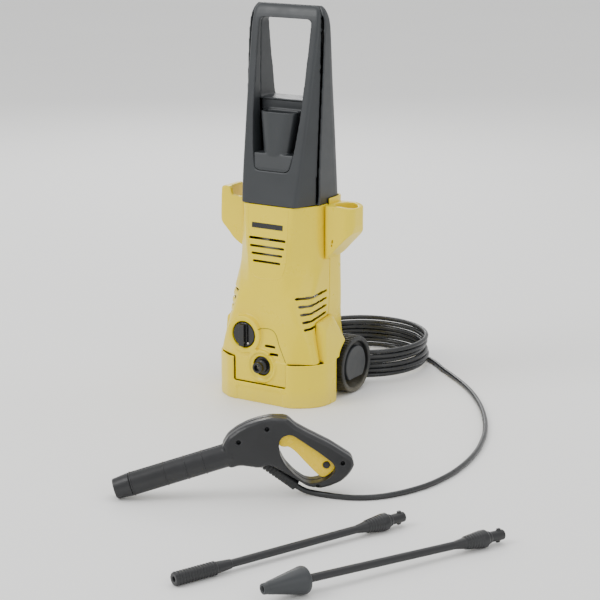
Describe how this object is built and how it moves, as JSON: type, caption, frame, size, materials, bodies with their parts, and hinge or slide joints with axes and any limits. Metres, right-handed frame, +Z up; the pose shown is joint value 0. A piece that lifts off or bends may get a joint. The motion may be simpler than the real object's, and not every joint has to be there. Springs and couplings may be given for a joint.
{
  "type": "pressure washer",
  "caption": "Upright electric pressure washer with wheels, a handle tower, holders, a rotary switch, motor and piston pump, hose, trigger gun and two bayonet lances.",
  "frame": {"origin": "on the floor under the middle of the machine's body", "axes": "+Z up, -Y towards the machine's front with the switch and the water inlet, +X to its right as seen from the front"},
  "size_m": [0.6744, 0.9946, 0.5883],
  "materials": {
    "yellow_plastic": "moulded, semi-gloss",
    "charcoal_plastic": "fine spark-eroded grain, satin",
    "black_plastic": "moulded, satin",
    "hose_rubber": "extruded, satin",
    "zinc_steel": "zinc plated",
    "cast_aluminium": "die cast",
    "brass_parts": "turned",
    "copper_winding": "enamelled copper wire on a steel core",
    "pale_plastic": "moulded"
  },
  "bodies": {
    "root": {"base_tray": "yellow_plastic", "front_cover": "yellow_plastic", "rear_cover": "yellow_plastic", "gun_holder": "yellow_plastic", "hose_hook": "yellow_plastic", "tower_front": "charcoal_plastic", "tower_rear": "charcoal_plastic", "nozzle_pocket": "charcoal_plastic", "switch_box": "black_plastic", "inlet_coupling": "black_plastic", "inlet_nut": "black_plastic", "hose_nut": "black_plastic", "mains_gland": "black_plastic", "gun_shell_left": "black_plastic", "gun_shell_right": "black_plastic", "muzzle_socket": "black_plastic", "hose_lead": "hose_rubber", "hose_coil": "hose_rubber", "hose_run": "hose_rubber", "hose_boot": "hose_rubber", "cover_screws": "zinc_steel", "axle": "zinc_steel", "axle_clips": "zinc_steel", "gun_screws": "zinc_steel", "inlet_pipe": "zinc_steel", "piston_springs": "zinc_steel", "motor_bearings": "zinc_steel", "pump_bearings": "zinc_steel", "pistons": "zinc_steel", "gear_case": "cast_aluminium", "cylinder_block": "cast_aluminium", "pump_head": "cast_aluminium", "motor_housing": "cast_aluminium", "outlet_pipe": "brass_parts", "stop_valve": "brass_parts", "gun_valve": "brass_parts", "brush_holders": "brass_parts", "stator": "copper_winding", "inlet_filter": "pale_plastic", "capacitor": "pale_plastic"},
    "knob": {"switch_knob": "black_plastic", "knob_marker": "pale_plastic", "switch_shaft": "zinc_steel"},
    "wheel_left": {"wheel_left": "black_plastic", "wheel_cap_left": "charcoal_plastic"},
    "wheel_right": {"wheel_right": "black_plastic", "wheel_cap_right": "charcoal_plastic"},
    "motor_rotor": {"rotor": "zinc_steel", "motor_fan": "pale_plastic", "drive_pinion": "zinc_steel"},
    "pump_drive": {"drive_gear": "pale_plastic", "wobble_plate": "zinc_steel"},
    "trigger": {"gun_trigger": "yellow_plastic"},
    "lock": {"trigger_lock": "black_plastic"},
    "spray_lance": {"spray_lance": "black_plastic"},
    "spray_nozzle": {"spray_nozzle": "black_plastic"},
    "rotor_lance": {"rotor_lance": "black_plastic", "rotor_nozzle": "charcoal_plastic"},
    "rotor_jet": {"rotor_insert": "brass_parts"}
  },
  "joints": [
    {"name": "knob_turn", "type": "hinge", "parent": "root", "child": "knob", "pos_m": [-0.029, -0.076, 0.102], "axis": [0, 1, 0], "range_deg": [0, 90]},
    {"name": "wheel_left_spin", "type": "hinge", "parent": "root", "child": "wheel_left", "pos_m": [-0.082, 0.0415, 0.0442], "axis": [1, 0, 0], "continuous": true},
    {"name": "wheel_right_spin", "type": "hinge", "parent": "root", "child": "wheel_right", "pos_m": [0.082, 0.0415, 0.0442], "axis": [1, 0, 0], "continuous": true},
    {"name": "motor_spin", "type": "hinge", "parent": "root", "child": "motor_rotor", "pos_m": [-0.02025, -0.004, 0.2], "axis": [0, 0, 1], "continuous": true},
    {"name": "pump_spin", "type": "hinge", "parent": "root", "child": "pump_drive", "pos_m": [0.016, -0.004, 0.12], "axis": [0, 0, 1], "continuous": true},
    {"name": "trigger_pull", "type": "hinge", "parent": "root", "child": "trigger", "pos_m": [0.2349, -0.39586, 0.09078], "axis": [0.5779, -0.8161, 0], "range_deg": [0, 9], "stiffness_Nm_per_rad": 0.8, "springref_deg": -6.88},
    {"name": "lock_slide", "type": "slide", "parent": "trigger", "child": "lock", "axis": [-0.5779, 0.8161, 0], "range_m": [0, 0.002]},
    {"name": "spray_lance_lift", "type": "slide", "parent": "root", "child": "spray_lance", "axis": [0, 0, 1], "range_m": [0, 0.3]},
    {"name": "spray_nozzle_turn", "type": "hinge", "parent": "spray_lance", "child": "spray_nozzle", "pos_m": [0.30582, -0.67873, 0.00896], "axis": [-0.3939, -0.9191, -0.0081], "range_deg": [0, 270]},
    {"name": "rotor_lance_lift", "type": "slide", "parent": "root", "child": "rotor_lance", "axis": [0, 0, 1], "range_m": [0, 0.3]},
    {"name": "rotor_jet_spin", "type": "hinge", "parent": "rotor_lance", "child": "rotor_jet", "pos_m": [0.4196, -0.66827, 0.01708], "axis": [-0.4336, -0.9009, 0.0212], "continuous": true}
  ],
  "couplings": [
    {"joint": "pump_spin", "follows": "motor_spin", "ratio": -0.26087}
  ]
}
